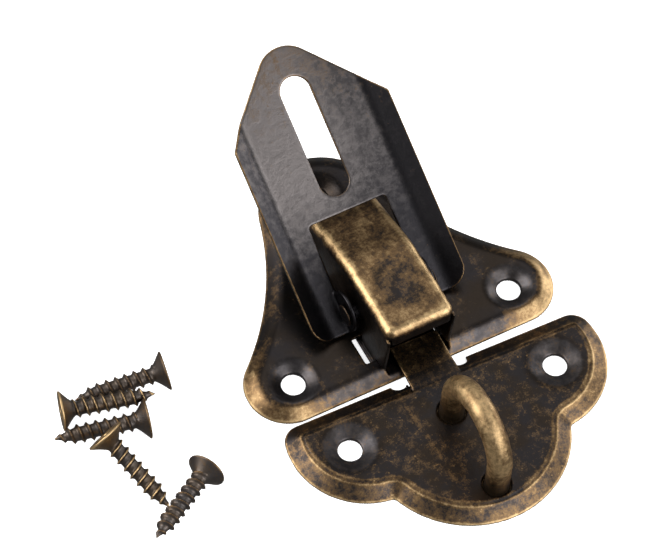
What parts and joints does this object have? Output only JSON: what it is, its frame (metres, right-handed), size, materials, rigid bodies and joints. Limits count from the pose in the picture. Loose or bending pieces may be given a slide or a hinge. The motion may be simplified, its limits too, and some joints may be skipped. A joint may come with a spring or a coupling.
{
  "type": "hasp and staple",
  "caption": "Small antique-bronze box hasp: bell-shaped base plate with a folded housing and a hinged slotted leaf, scalloped plate with a wire staple, and loose wood screws.",
  "frame": {"origin": "on the seating plane, at the middle of the base plate's front rim, where the two plates meet", "axes": "+Z away from the wood, +Y from the staple plate towards the base plate's top lobe, +X to the right seen from the staple side"},
  "size_m": [0.0799, 0.0744, 0.0224],
  "materials": {
    "plate_bronze": "dark antique patina, rubbed bright on the raised edges",
    "rubbed_brass": "antique brass, rubbed back on the folds",
    "dark_bronze": "smooth dark blue-grey patina with bright cut edges",
    "screw_bronze": "dark bronze with rubbed thread crests"
  },
  "bodies": {
    "hasp_base": {"base_plate": "plate_bronze", "housing": "rubbed_brass", "hinge_pin": "dark_bronze"},
    "hasp_leaf": {"leaf": "dark_bronze"},
    "staple_half": {"staple_plate": "plate_bronze", "staple": "rubbed_brass"},
    "loose_screws": {"screw_1": "screw_bronze", "screw_2": "screw_bronze", "screw_3": "screw_bronze", "screw_4": "screw_bronze", "screw_5": "screw_bronze"}
  },
  "joints": [
    {"name": "leaf_hinge", "type": "hinge", "parent": "hasp_base", "child": "hasp_leaf", "pos_m": [-0.0002, 0.0099, 0.006], "axis": [1, 0, 0], "range_deg": [0, 158]},
    {"name": "staple_plate_slide", "type": "slide", "parent": "hasp_base", "child": "staple_half", "axis": [0, -1, 0], "range_m": [0, 0.03]},
    {"name": "screw_pile_lift", "type": "slide", "parent": "hasp_base", "child": "loose_screws", "axis": [0, 0, 1], "range_m": [0, 0.03]}
  ]
}
